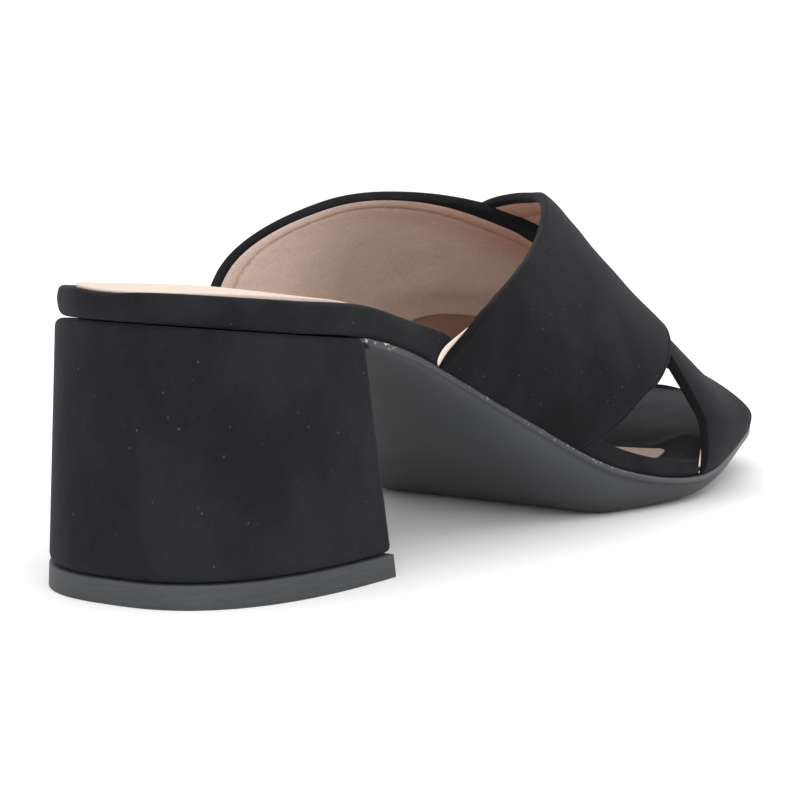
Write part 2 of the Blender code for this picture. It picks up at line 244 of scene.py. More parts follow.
@dataclass
class Last:
    """The form that the footbed, the sole and the straps are made on."""

    heel_end: Station = Station(0.0, 0.0, 0.0, 0.0, 53.65, 0.0, 6.4, 50.0, 0.2)
    stations: tuple[Station, ...] = (
        Station(25.0, 0.0, 27.2, 26.2, 50.40, 0.0, 6.4, 47.0, 0.2),
        Station(45.0, 0.0, 29.0, 28.6, 47.70, 0.0, 6.4, 44.2, 0.2),
        Station(60.0, 0.0, 28.4, 28.0, 43.60, 1.0, 6.4, 38.8, 0.2),
        Station(75.0, 0.0, 28.0, 27.2, 37.60, 2.2, 6.4, 31.2, 0.3),
        Station(100.0, 0.0, 30.6, 28.5, 25.50, 3.6, 5.8, 16.6, 0.5),
        Station(130.0, 0.0, 36.0, 34.5, 11.40, 3.8, 4.4, 1.0, 0.75),
        Station(160.0, -1.0, 41.2, 38.0, 6.10, 2.2, 4.0, 0.0, 0.8),
        Station(190.0, -4.0, 38.8, 34.5, 10.00, 1.6, 4.0, 4.4, 0.7),
        Station(212.0, -7.0, 31.5, 27.0, 11.90, 1.3, 4.0, 7.8, 0.5),
    )
    toe_end: Station = Station(231.0, -9.0, 0.0, 0.0, 12.4, 1.2, 4.0, 9.8, 0.4)
    end_radii: Pair = (22.0, 26.0)
    dish_power: int = 3
    rim_lip: float = 1.1
    rises: tuple[EdgeRise, ...] = (
        EdgeRise(0.0, -0.4),
        EdgeRise(25.0, -0.1),
        EdgeRise(45.0, 0.1),
        EdgeRise(60.0, 0.3),
        EdgeRise(75.0, 2.2),
        EdgeRise(100.0, 1.8),
        EdgeRise(130.0, 0.8),
        EdgeRise(160.0, 0.0),
    )
    rise_power: int = 10
    sock_rows: tuple[SockRow, ...] = (
        SockRow(0.0, 3.8, 0.50, 2.9),
        SockRow(25.0, 3.5, 0.45, 2.4),
        SockRow(45.0, 4.0, 0.15, 1.0),
        SockRow(70.0, 4.6, 0.05, 0.1),
        SockRow(100.0, 5.5, 0.15, 0.1),
        SockRow(130.0, 9.5, 0.20, 0.0),
        SockRow(160.0, 13.2, 0.35, 0.0),
        SockRow(190.0, 12.4, 0.35, 0.0),
    )
    sock_back: float = 4.0
    sock_front: float = 171.8
    sock_end: float = 205.0
    sock_radii: Pair = (20.0, 20.0)
    pad_run: float = 30.0

    def __post_init__(self) -> None:
        """Draw the lines that the tables give."""
        self.lines = lines_of((self.heel_end, *self.stations, self.toe_end))
        self.edge_rise = lines_of(self.rises)["height"]
        self.sock_lines = lines_of(self.sock_rows)
        self.plan = self._plan((0.0, self.toe_end.y), self.end_radii)
        sock_span = (self.sock_back, self.sock_end)
        self.sock_plan = self._plan(sock_span, self.sock_radii, self.sock_lines["inset"])

    def _plan(
        self, span: Pair, radii: Pair, inset: Callable[[float], float] | None = None
    ) -> Outline:
        """Draw a plan with round ends through the stations between its ends.

        Args:
            span: the plan's rear end and its front end.
            radii: how round each of them is.
            inset: gives how far inside the footbed's edge the plan is, or None for on it.

        Returns:
            The plan's outline.
        """
        rows = [row for row in self.stations if row.y < span[1]]
        places = [span[0], *(row.y for row in rows), span[1]]
        back, front = (math.sqrt(radius * (span[1] - span[0]) / 2) for radius in radii)
        sides = []
        for side in ("lateral", "medial"):
            widths = [getattr(row, side) - (inset(row.y) if inset else 0.0) for row in rows]
            shares = [width / chord(row.y, *span) for width, row in zip(widths, rows)]
            sides.append(Line(places, [back, *shares, front]))
        return Outline(*span, self.lines["axis"], *sides)

    def half_width(self, y: float, outer: bool) -> float:
        """Return the footbed's half width at y on the outer or the inner side."""
        side = self.plan.outer if outer else self.plan.inner
        return side(y) * chord(y, self.plan.back, self.plan.front)

    def across(self, x: float, y: float) -> float:
        """Return how far x is from the centre line, as a share of the half width."""
        off = x - self.lines["axis"](y)
        return min(1.0, abs(off) / max(self.half_width(y, off >= 0), TINY))

    def bed(self, y: float) -> float:
        """Return the height of the seam between footbed and outsole at the edge."""
        return self.lines["bed"](y)

    def seat(self, x: float, y: float) -> float:
        """Return the height of the footbed's underside."""
        return self.bed(y) - self.lines["dish"](y) * (1 - self.across(x, y) ** self.dish_power)

    def top(self, x: float, y: float) -> float:
        """Find the footbed's upper face, a little raised at the rim.

        Args:
            x: the place across the shoe.
            y: the place along it.

        Returns:
            The face's height.
        """
        across = self.across(x, y)
        lip = self.rim_lip * (1 - across**self.dish_power)
        lift = self.edge_rise(y) * across**self.rise_power - lip
        return self.seat(x, y) + self.lines["rim"](y) + lift

    def tread(self, x: float, y: float, edge: float) -> float:
        """Return the height of the outsole's underside.

        Args:
            x: the place across the shoe.
            y: the place along it.
            edge: how far the outsole's lower edge is below the seam.

        Returns:
            The height, which rises in a round from the flat part to that edge.
        """
        low = max(0.0, self.lines["tread"](y))
        flat = self.lines["flat"](y)
        past = max(0.0, self.across(x, y) - flat) / (1 - flat)
        return low + (self.bed(y) - edge - low) * (1 - math.sqrt(1 - past * past))


class VaultRow(NamedTuple):
    """The instep at one place: the ridge's height, and its bulge past the footbed."""

    y: float
    top: float
    lateral: float
    medial: float


@dataclass
class Vault:
    """The instep that both straps follow, a fuller round on the inner side."""

    last: Last
    rows: tuple[VaultRow, ...] = (
        VaultRow(60.0, 91.8, 3.7, 8.2),
        VaultRow(100.0, 84.4, 5.1, 4.6),
        VaultRow(140.0, 68.7, 3.4, 5.0),
        VaultRow(160.0, 52.0, 3.2, 4.1),
        VaultRow(180.0, 35.0, 2.2, 2.9),
        VaultRow(215.0, 24.6, 1.8, 1.0),
    )
    ridge_x: float = -1.3
    outer_power: float = 1.46
    inner_power: float = 2.0
    widest_share: float = 0.257
    foot_level: float = 1.1

    def __post_init__(self) -> None:
        """Draw the lines that the table gives."""
        self.lines = lines_of(self.rows)

    def point(self, y: float, turn: float, lift: float) -> Pair:
        """Find a point of the vault's section at y.

        Args:
            y: the place along the shoe.
            turn: 0 at the outer foot of the vault to 1 at the inner foot.
            lift: how far the point is raised off the vault.

        Returns:
            The point's x and z.
        """
        top = self.lines["top"](y)
        axis = self.last.lines["axis"](y)
        ridge = axis + self.ridge_x
        sides = []
        halves = (("lateral", 1, self.outer_power), ("medial", -1, self.inner_power))
        for side, sign, power in halves:
            foot = self.last.half_width(y, sign > 0) + sign * (axis - ridge)
            reach = foot + self.lines[side](y)
            sides.append((reach, math.acos((foot / reach) ** (power / 2)), power))
        angle = -sides[0][1] + turn * (math.pi + sides[0][1] + sides[1][1])
        reach, tuck, power = sides[0] if math.cos(angle) >= 0 else sides[1]
        base = self.last.bed(y) + self.foot_level
        widest = mix(base, top, self.widest_share)
        cos, sin = math.cos(angle), math.sin(angle)
        x = ridge + reach * math.copysign(abs(cos) ** (2 / power), cos)
        if sin < 0:
            z = widest + (widest - base) * sin / math.sin(tuck)
        else:
            z = mix(widest, top, sin ** (2 / power))
        return x + lift * cos, z + lift * max(sin, 0.0)


# ---------------------------------------------------------------------------- materials

EVEN: Triple = (1.0, 1.0, 1.0)
CLOUD_ROUGHNESS = 0.55


class Wire:
    """An output socket of a recipe; maths on it adds Math nodes."""

    def __init__(self, recipe: "Recipe", socket: bpy.types.NodeSocket) -> None:
        """Keep a socket.

        Args:
            recipe: the recipe that it belongs to.
            socket: the output socket.
        """
        self.recipe = recipe
        self.socket = socket

    def maths(self, operation: str, *values: "Wire | float") -> "Wire":
        """Return a Math node's result on these values."""
        sockets = dict(enumerate(values))
        return self.recipe.add("ShaderNodeMath", {"operation": operation}, sockets)

    def __add__(self, other: "Wire | float") -> "Wire":
        """Return the sum."""
        return self.maths("ADD", self, other)

    __radd__ = __add__

    def __sub__(self, other: "Wire | float") -> "Wire":
        """Return the difference."""
        return self.maths("SUBTRACT", self, other)

    def __rsub__(self, other: float) -> "Wire":
        """Return the difference from a number."""
        return self.maths("SUBTRACT", other, self)

    def __mul__(self, other: "Wire | float") -> "Wire":
        """Return the product."""
        return self.maths("MULTIPLY", self, other)

    __rmul__ = __mul__

    def between(self, low: float, high: float) -> "Wire":
        """Step softly between two values.

        Args:
            low: where the step is 0.
            high: where it is 1, which may be the lower of the two.

        Returns:
            The step.
        """
        sockets = {0: self, 1: min(low, high), 2: max(low, high)}
        step = self.recipe.add("ShaderNodeMapRange", {"interpolation_type": "SMOOTHSTEP"}, sockets)
        return step if low < high else 1 - step


class Recipe:
    """The node tree of one material, whose patterns are sized in millimetres."""

    def __init__(self, name: str) -> None:
        """Start a material with a Principled surface."""
        self.material = bpy.data.materials.new(name)
        self.material.use_nodes = True
        self.tree = self.material.node_tree
        self.surface = self.tree.nodes["Principled BSDF"]
        self.place = self.add("ShaderNodeTexCoord", out="Object")

    def add(
        self,
        kind: str,
        settings: Mapping[str, Any] | None = None,
        sockets: Mapping[int | str, Any] | None = None,
        out: int | str = 0,
    ) -> Wire:
        """Add a node.

        Args:
            kind: the node's type.
            settings: its own settings, set first.
            sockets: a number, colour or wire for each input, by index or name.
            out: which output to return.

        Returns:
            That output.
        """
        node = self.tree.nodes.new(kind)
        for name, value in (settings or {}).items():
            setattr(node, name, value)
        for name, value in (sockets or {}).items():
            self.set(node.inputs[name], value)
        return Wire(self, node.outputs[out])

    def set(self, socket: bpy.types.NodeSocket, value: Any) -> None:
        """Fill an input.

        Args:
            socket: the input.
            value: the number or colour that it gets, or the wire that is linked to it.
        """
        if isinstance(value, Wire):
            self.tree.links.new(value.socket, socket)
        else:
            socket.default_value = value

    def dress(self, sockets: Mapping[str, Any]) -> bpy.types.Material:
        """Finish the material.

        Args:
            sockets: a number, colour or wire for each of the surface's inputs, by name.

        Returns:
            The material.
        """
        for name, value in sockets.items():
            self.set(self.surface.inputs[name], value)
        return self.material

    def blend(self, share: Wire, low: "Wire | Colour", high: "Wire | Colour") -> Wire:
        """Mix two colours.

        Args:
            share: 0 for the first colour and 1 for the second.
            low: the first colour.
            high: the second colour.

        Returns:
            The mixed colour.
        """
        low, high = (c if isinstance(c, Wire) else (*c, 1.0) for c in (low, high))
        return self.add("ShaderNodeMix", {"data_type": "RGBA"}, {0: share, 6: low, 7: high}, 2)

    def spread(self, size: float, squeeze: Triple, shift: float) -> dict[str, Any]:
        """Place a pattern.

        Args:
            size: how wide its cells are, in millimetres.
            squeeze: how much finer it is along each axis.
            shift: moves the pattern.

        Returns:
            The sockets of its place and scale.
        """
        sockets = {"Vector": self.place, "Location": (shift,) * 3, "Scale": squeeze}
        place = self.add("ShaderNodeMapping", sockets=sockets)
        return {"Vector": place, "Scale": 1 / (size * MM)}

    def cloud(
        self, size: float, detail: float = 2.0, squeeze: Triple = EVEN, shift: float = 0.0
    ) -> Wire:
        """Return soft noise, 0 to 1.

        Args:
            size: how wide its patches are, in millimetres.
            detail: how many finer layers it has.
            squeeze: how much finer it is along each axis.
            shift: moves the pattern, so that no two are alike.

        Returns:
            The noise's value.
        """
        sockets = self.spread(size, squeeze, shift)
        sockets |= {"Detail": detail, "Roughness": CLOUD_ROUGHNESS}
        return self.add("ShaderNodeTexNoise", {"normalize": True}, sockets, "Fac")

    def cells(
        self, size: float, feature: str = "F1", squeeze: Triple = EVEN, shift: float = 0.0
    ) -> Wire:
        """Return distances in a cell pattern.

        Args:
            size: how wide the cells are, in millimetres.
            feature: F1 for the distance to a cell's point, DISTANCE_TO_EDGE to its edge.
            squeeze: how much finer it is along each axis.
            shift: moves the pattern.

        Returns:
            The distance, as a share of a cell.
        """
        sockets = self.spread(size, squeeze, shift)
        return self.add("ShaderNodeTexVoronoi", {"feature": feature}, sockets, "Distance")

    def trace(self, name: str) -> Wire:
        """Return a value that the piece's mesh holds by name."""
        return self.add("ShaderNodeAttribute", {"attribute_name": name}, out="Fac")

    def relief(self, height: Wire, depth: float, below: Wire | None = None) -> Wire:
        """Return a bumped normal.

        Args:
            height: the relief, 0 to 1.
            depth: how deep it is, in millimetres.
            below: a normal that is bumped already.

        Returns:
            The normal.
        """
        sockets = {"Height": height, "Distance": depth * MM}
        if below:
            sockets["Normal"] = below
        return self.add("ShaderNodeBump", sockets=sockets, out="Normal")


@dataclass(frozen=True)
class Suede:
    """Black suede: a short nap brushed into patches, with a soft sheen and stray lint."""

    name: str
    deep: Colour = (0.0045, 0.0044, 0.0051)
    brushed: Colour = (0.0135, 0.0131, 0.0148)
    lint: Colour = (0.06, 0.06, 0.058)
    patch: float = 15.0
    patch_step: Pair = (0.3, 0.72)
    streak: Triple = (1.0, 1.0, 0.45)
    nap: float = 0.33
    nap_step: Pair = (0.25, 0.8)
    nap_depth: float = 0.09
    nap_relief: Pair = (0.7, 0.6)
    tuft: float = 1.32
    brushing: Triple = (0.55, 0.3, 0.25)
    lint_cell: float = 2.3
    lint_squeeze: Triple = (1.0, 1.0, 0.7)
    lint_size: Pair = (0.1, 0.04)
    lint_patch: float = 4.37
    lint_step: Pair = (0.42, 0.58)
    roughness: float = 1.0
    brushed_gloss: float = 0.12
    shine: float = 0.1
    sheen: float = 0.045
    sheen_roughness: float = 0.45
    sheen_tint: Colour = (0.75, 0.8, 0.9)
    shift: float = 0.0

    def make(self) -> bpy.types.Material:
        """Mix the suede.

        Returns:
            The material.
        """
        recipe = Recipe(self.name)
        patches = recipe.cloud(self.patch, 3.0, self.streak, self.shift)
        nap = recipe.cloud(self.nap, 2.0, self.streak, self.shift)
        tufts = recipe.cloud(self.tuft, 2.0, self.streak, self.shift + 1)
        nap_rise, tuft_rise = self.nap_relief
        by_patch, by_nap, by_tuft = self.brushing
        share = patches.between(*self.patch_step) * by_patch
        share += nap.between(*self.nap_step) * by_nap + tufts * by_tuft
        ground = recipe.blend(share, self.deep, self.brushed)
        flecks = recipe.cells(self.lint_cell, squeeze=self.lint_squeeze, shift=self.shift)
        rare = recipe.cloud(self.lint_patch, 0.0, shift=self.shift + 2)
        lint = flecks.between(*self.lint_size) * rare.between(*self.lint_step)
        return recipe.dress(
            {
                "Base Color": recipe.blend(lint, ground, self.lint),
                "Roughness": self.roughness - self.brushed_gloss * patches,
                "Normal": recipe.relief(nap * nap_rise + tufts * tuft_rise, self.nap_depth),
                "Specular IOR Level": self.shine,
                "Sheen Weight": self.sheen,
                "Sheen Roughness": self.sheen_roughness,
                "Sheen Tint": (*self.sheen_tint, 1.0),
            }
        )


@dataclass(frozen=True)
class Leather:
    """Nude lining leather: a fine pored grain, faint wrinkles and handling smudges, with painted
    shade in its crease and under the other strap, and a painted highlight on its lit edge.
    """

    name: str
    colour: Colour = (0.575, 0.445, 0.38)
    pore_colour: Colour = (0.42, 0.30, 0.25)
    smudge_and_crease_shade: Colour = (0.34, 0.25, 0.205)
    # shaded is painted shade: the lining's colour where the other strap shades it
    shaded: Colour = (0.40, 0.235, 0.175)
    # painted highlight: the colour of the lit lining where it shows past the rear edge
    painted_highlight: Colour = (0.84, 0.72, 0.63)
    pore: float = 0.55
    pore_step: Pair = (0.34, 0.1)
    pore_tint: float = 0.35
    pore_drop: float = 0.5
    grain: float = 1.3
    grain_squeeze: Triple = (1.0, 1.0, 0.6)
    valley_width: float = 0.16
    valley_tint: float = 0.18
    valley_drop: float = 0.6
    grain_depth: float = 0.05
    patch: float = 16.0
    patch_step: Pair = (0.45, 0.8)
    mark: float = 6.4
    mark_squeeze: Triple = (1.0, 0.6, 1.8)
    mark_step: Pair = (0.62, 0.78)
    mark_rise: float = 0.6
    wear_depth: float = 0.45
    # wrinkle sizes the blotches of painted shade along the lining's crease
    wrinkle: float = 1.6
    wrinkle_step: Pair = (0.35, 0.65)
    smudging_and_crease_shade: Triple = (0.25, 0.3, 0.9)
    roughness: float = 0.52
    handled_roughness: float = 0.14
    shine: float = 0.4
    shift: float = 0.0

    def make(self) -> bpy.types.Material:
        """Mix the leather.

        Returns:
            The material.
        """
        recipe = Recipe(self.name)
        pores = recipe.cells(self.pore, shift=self.shift).between(*self.pore_step)
        borders = recipe.cells(self.grain, "DISTANCE_TO_EDGE", self.grain_squeeze, self.shift)
        valleys = borders.between(self.valley_width, 0.0)
        patches = recipe.cloud(self.patch, 4.0, shift=self.shift)
        marks = recipe.cloud(self.mark, 5.0, self.mark_squeeze, self.shift + 1)
        wrinkles = recipe.cloud(self.wrinkle, 3.0, shift=self.shift + 2)
        # painted shade: the lining's crease is darkened in wrinkled blotches, mixed in with the
        # real handling smudges
        folded = recipe.trace("crease") * wrinkles.between(*self.wrinkle_step)
        by_patch, by_mark, by_crease_shade = self.smudging_and_crease_shade
        darkening = patches.between(*self.patch_step) * by_patch
        darkening += marks.between(*self.mark_step) * by_mark + folded * by_crease_shade
        pitted = pores * self.pore_tint + valleys * self.valley_tint
        colour = recipe.blend(pitted, self.colour, self.pore_colour)
        for share, tint in (
            # real handling smudges together with painted shade in the crease
            (darkening, self.smudge_and_crease_shade),
            # painted shade where the other strap shades the lining
            (recipe.trace("shade"), self.shaded),
            # painted highlight on the lit lining past the rear edge
            (recipe.trace("painted_highlight"), self.painted_highlight),
        ):
            colour = recipe.blend(share, colour, tint)
        height = 1 - valleys * self.valley_drop - pores * self.pore_drop
        grain = recipe.relief(height, self.grain_depth)
        return recipe.dress(
            {
                "Base Color": colour,
                "Roughness": self.roughness + self.handled_roughness * patches,
                "Normal": recipe.relief(patches + marks * self.mark_rise, self.wear_depth, grain),
                "Specular IOR Level": self.shine,
            }
        )


@dataclass(frozen=True)
class Rubber:
    """Dark grey rubber of the top lift, its side ground level with the heel."""

    name: str
    colour: Colour = (0.025, 0.0265, 0.029)
    ground: Colour = (0.046, 0.049, 0.053)
    groove: float = 0.35
    groove_run: float = 8.0
    groove_step: Pair = (0.3, 0.7)
    groove_depth: float = 0.05
    groove_relief: Pair = (0.6, 0.4)
    dust: float = 0.6
    dust_step: Pair = (0.4, 0.75)
    patch: float = 9.0
    grinding: Triple = (0.5, 0.25, 0.25)
    roughness: float = 0.52
    dusty_roughness: float = 0.2
    shine: float = 0.45

    def make(self) -> bpy.types.Material:
        """Mix the rubber.

        Returns:
            The material.
        """
        recipe = Recipe(self.name)
        lines = recipe.cloud(self.groove_run, 3.0, (1.0, 1.0, self.groove_run / self.groove))
        dust = recipe.cloud(self.dust, 2.0)
        patches = recipe.cloud(self.patch, 3.0)
        line_rise, dust_rise = self.groove_relief
        by_line, by_dust, by_patch = self.grinding
        share = lines.between(*self.groove_step) * by_line
        share += dust.between(*self.dust_step) * by_dust + patches * by_patch
        return recipe.dress(
            {
                "Base Color": recipe.blend(share, self.colour, self.ground),
                "Roughness": self.roughness + self.dusty_roughness * dust,
                "Normal": recipe.relief(lines * line_rise + dust * dust_rise, self.groove_depth),
                "Specular IOR Level": self.shine,
            }
        )


@dataclass(frozen=True)
class SoleCompound:
    """Satin grey outsole compound with light scuffs, a painted highlight along its upper edge and
    painted shade near the floor.
    """

    name: str
    colour: Colour = (0.0170, 0.0182, 0.0212)
    bloom: Colour = (0.0270, 0.0290, 0.0325)
    # painted highlight: the colour of the bright reflection along the outsole's upper edge
    edge_highlight_colour: Colour = (0.09, 0.094, 0.102)
    scuff: Colour = (0.07, 0.074, 0.079)
    # painted shade: the colour of the outsole's lowest few millimetres, next to the floor
    darkening: Colour = (0.008, 0.0085, 0.0095)
    glue: Colour = (0.55, 0.55, 0.54)
    patch: float = 26.0
    patch_step: Pair = (0.3, 0.75)
    patch_depth: float = 0.12
    blooming: Pair = (0.7, 0.3)
    edge_highlight_mix: Pair = (0.3, 0.3)
    grain: float = 0.5
    grain_depth: float = 0.02
    scratch: float = 5.0
    scratch_squeeze: Triple = (1.6, 0.25, 1.6)
    scratch_step: Pair = (0.66, 0.8)
    scratch_tint: float = 0.35
    glue_cell: float = 1.1
    glue_squeeze: Triple = (1.0, 1.0, 1.4)
    glue_size: Pair = (0.42, 0.2)
    glue_patch: float = 3.0
    glue_step: Pair = (0.45, 0.6)
    roughness: float = 0.4
    patch_roughness: float = 0.14
    scratch_roughness: float = 0.15
    shine: float = 0.5

    def make(self) -> bpy.types.Material:
        """Mix the compound.

        Returns:
            The material.
        """
        recipe = Recipe(self.name)
        patches = recipe.cloud(self.patch, 3.0)
        grain = recipe.cloud(self.grain, 2.0)
        scratches = recipe.cloud(self.scratch, 4.0, self.scratch_squeeze, 3.0)
        scratches = scratches.between(*self.scratch_step)
        spots = recipe.cells(self.glue_cell, squeeze=self.glue_squeeze).between(*self.glue_size)
        rare = recipe.cloud(self.glue_patch, 1.0, shift=5.0).between(*self.glue_step)
        by_patch, by_grain = self.blooming
        evenly, in_patches = self.edge_highlight_mix
        colour = self.colour
        for share, tint in (
            (patches.between(*self.patch_step) * by_patch + grain * by_grain, self.bloom),
            (scratches * self.scratch_tint, self.scuff),
            # painted highlight along the upper edge, patchy
            (recipe.trace("edge_highlight") * (evenly + in_patches * patches), self.edge_highlight_colour),
            # painted shade, darker towards the floor
            (recipe.trace("tread"), self.darkening),
            (recipe.trace("glue") * spots * rare, self.glue),
        ):
            colour = recipe.blend(share, colour, tint)
        rough = self.patch_roughness * patches + self.scratch_roughness * scratches
        fine = recipe.relief(grain, self.grain_depth)
        return recipe.dress(
            {
                "Base Color": colour,
                "Roughness": self.roughness + rough,
                "Normal": recipe.relief(patches, self.patch_depth, fine),
                "Specular IOR Level": self.shine,
            }
        )


@dataclass(frozen=True)
class Backdrop:
    """Matt white paper of the floor."""

    name: str = "backdrop_paper"
    colour: Colour = (0.90, 0.90, 0.90)
    roughness: float = 0.95
    shine: float = 0.1

    def make(self) -> bpy.types.Material:
        """Mix the paper.

        Returns:
            The material.
        """
        return Recipe(self.name).dress(
            {
                "Base Color": (*self.colour, 1.0),
                "Roughness": self.roughness,
                "Specular IOR Level": self.shine,
            }
        )


STRAP_SUEDE = Suede("strap_suede", shift=2.6)
HEEL_SUEDE = Suede(
    "heel_suede",
    deep=(0.0068, 0.0069, 0.0083),
    brushed=(0.0182, 0.0187, 0.0218),
    streak=(1.0, 1.0, 0.6),
    shift=0.3,
)
RIM_SUEDE = Suede(
    "rim_suede",
    deep=(0.0074, 0.0073, 0.0086),
    brushed=(0.0175, 0.0173, 0.0198),
    patch=9.0,
    streak=EVEN,
    shift=1.7,
)
LINING_LEATHER = Leather("nude_leather_lining")
SOCK_LEATHER = Leather(
    "nude_leather_sock",
    colour=(0.62, 0.505, 0.43),
    pore_colour=(0.51, 0.40, 0.33),
    smudge_and_crease_shade=(0.50, 0.40, 0.34),
    shift=0.9,
)
LIFT_RUBBER = Rubber("heel_rubber")
SOLE_COMPOUND = SoleCompound("outsole_synthetic")


class Slot(Enum):
    """The record's material slots."""

    STRAPS = "strap_suede"
    RIM = "rim_suede"
    HEEL = "heel_suede"
    TOP_LIFT = "heel_rubber"
    OUTSOLE = "outsole_synthetic"
    LINING = "nude_leather"


# ------------------------------------------------------------------------------- meshes


def grid(
    columns: int, rows: int, traces: Sequence[str] = ()
) -> tuple[bmesh.types.BMesh, dict[bmesh.types.BMVert, Cell]]:
    """Start a mesh from a grid.

    Args:
        columns: how many cells it has one way.
        rows: how many cells it has the other way.
        traces: names of the values that its points hold.

    Returns:
        The mesh, and the column and row of each of its points.
    """
    bm = bmesh.new()
    for name in traces:
        bm.verts.layers.float.new(name)
    bmesh.ops.create_grid(bm, x_segments=columns, y_segments=rows, size=0.5)
    return bm, {
        vert: (round((vert.co.x + 0.5) * columns), round((vert.co.y + 0.5) * rows))
        for vert in bm.verts
    }


def wrapped(steps: int, rows: int, place: Callable[[int, int], Vector]) -> bmesh.types.BMesh:
    """Wrap a grid round a closed section.

    Args:
        steps: how many cells go round.
        rows: how many rings of points there are.
        place: gives the point at a step and a row, in metres.

    Returns:
        The mesh, welded where it meets itself and closed at its ends.
    """
    bm, cells = grid(steps, rows - 1)
    for vert, (step, row) in cells.items():
        vert.co = place(step % steps, row)
    bmesh.ops.remove_doubles(bm, verts=bm.verts, dist=WELD)
    close(bm)
    return bm


def close(bm: bmesh.types.BMesh) -> None:
    """Fill the open ends of a mesh and turn its faces outwards.

    Args:
        bm: the mesh.
    """
    rims = [edge for edge in bm.edges if edge.is_boundary]
    bmesh.ops.holes_fill(bm, edges=rims, sides=0)
    bmesh.ops.recalc_face_normals(bm, faces=bm.faces)


def cut_off(bm: bmesh.types.BMesh, place: Vector, normal: Vector) -> None:
    """Cut a mesh by a plane, keep the side that the normal points to and close it.

    Args:
        bm: the mesh.
        place: a point of the plane, in metres.
        normal: points to the side that stays.
    """
    solid = bm.verts[:] + bm.edges[:] + bm.faces[:]
    bmesh.ops.bisect_plane(bm, geom=solid, plane_co=place, plane_no=normal, clear_inner=True)
    close(bm)


def soften(bm: bmesh.types.BMesh, width: float, segments: int) -> None:
    """Round the sharp edges of a mesh.

    Args:
        bm: the mesh.
        width: how far the round reaches, in millimetres.
        segments: how many faces the round has.
    """
    bm.normal_update()
    sharp = [edge for edge in bm.edges if edge.calc_face_angle(0.0) > SHARP]
    bmesh.ops.bevel(
        bm, geom=sharp, offset=width * MM, segments=segments,
        affect="EDGES", profile=0.5, material=-1,
    )


def put_in(name: str, data: bpy.types.ID) -> bpy.types.Object:
    """Put new data in the scene.

    Args:
        name: the object's name.
        data: its mesh, light or camera.

    Returns:
        The object.
    """
    obj = bpy.data.objects.new(name, data)
    bpy.context.scene.collection.objects.link(obj)
    return obj


def smooth(obj: bpy.types.Object, levels: int) -> None:
    """Subdivide a piece's surface, the same in every view."""
    modifier = obj.modifiers.new("smooth", "SUBSURF")
    modifier.levels = modifier.render_levels = levels


def add_piece(
    name: str,
    bm: bmesh.types.BMesh,
    material: bpy.types.Material,
    slot: Slot,
    replaces: Sequence[str] = (),
) -> bpy.types.Object:
    """Turn a mesh into a piece of the shoe.

    Args:
        name: the piece's name.
        bm: its mesh, which this uses up.
        material: its finish.
        slot: the record's slot that the finish belongs to; not used.
        replaces: the CAD nodes that it stands for.

    Returns:
        The piece.
    """
    mesh = bpy.data.meshes.new(name)
    bm.to_mesh(mesh)
    bm.free()
    mesh.shade_smooth()
    mesh.materials.append(material)
    obj = put_in(name, mesh)
    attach(obj, "root")
    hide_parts(*replaces)
    log.info("%s: %d faces before smoothing", name, len(mesh.polygons))
    return obj


# --------------------------------------------------------------------------------- heel


class HeelSection(NamedTuple):
    """A D-shaped section of the heel."""

    half_width: float
    depth: float
    squareness: float
    back: float


